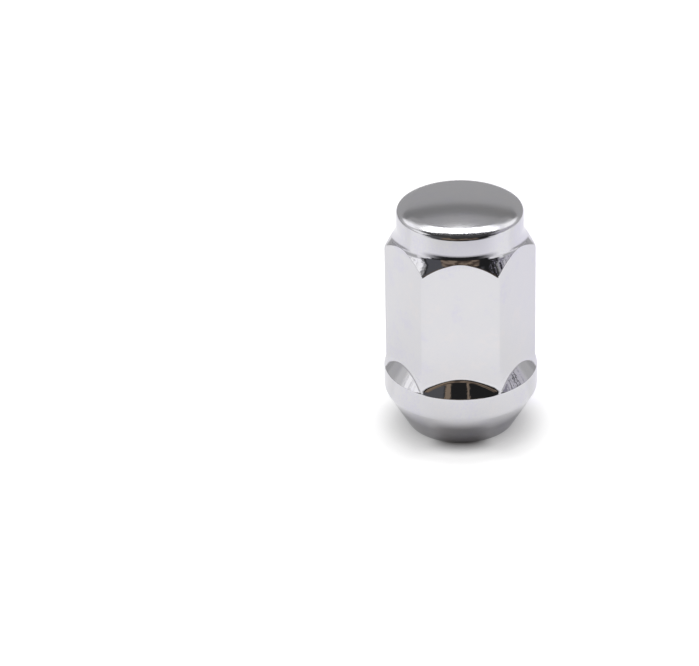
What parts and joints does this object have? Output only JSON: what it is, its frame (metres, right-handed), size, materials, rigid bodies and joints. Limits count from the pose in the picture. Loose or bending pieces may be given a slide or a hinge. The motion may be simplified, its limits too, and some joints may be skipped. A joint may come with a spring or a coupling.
{
  "type": "lug nut",
  "caption": "Closed-end wheel lug nut in bright chrome: a cone seat and bulged collar under a hexagon, with a plain domed cap and a blind threaded stud hole.",
  "frame": {"origin": "centre of the flat base ring at the seat end, on the nut's axis", "axes": "+Z along the nut's axis from the seat to the dome; +X through a corner of the hexagon; -Y faces a flat"},
  "size_m": [0.0224, 0.0224, 0.0356],
  "materials": {
    "chrome_plate": "bright chrome plating on forged steel, slightly uneven, with a satin dome"
  },
  "bodies": {
    "root": {"lug_nut": "chrome_plate"}
  },
  "joints": []
}
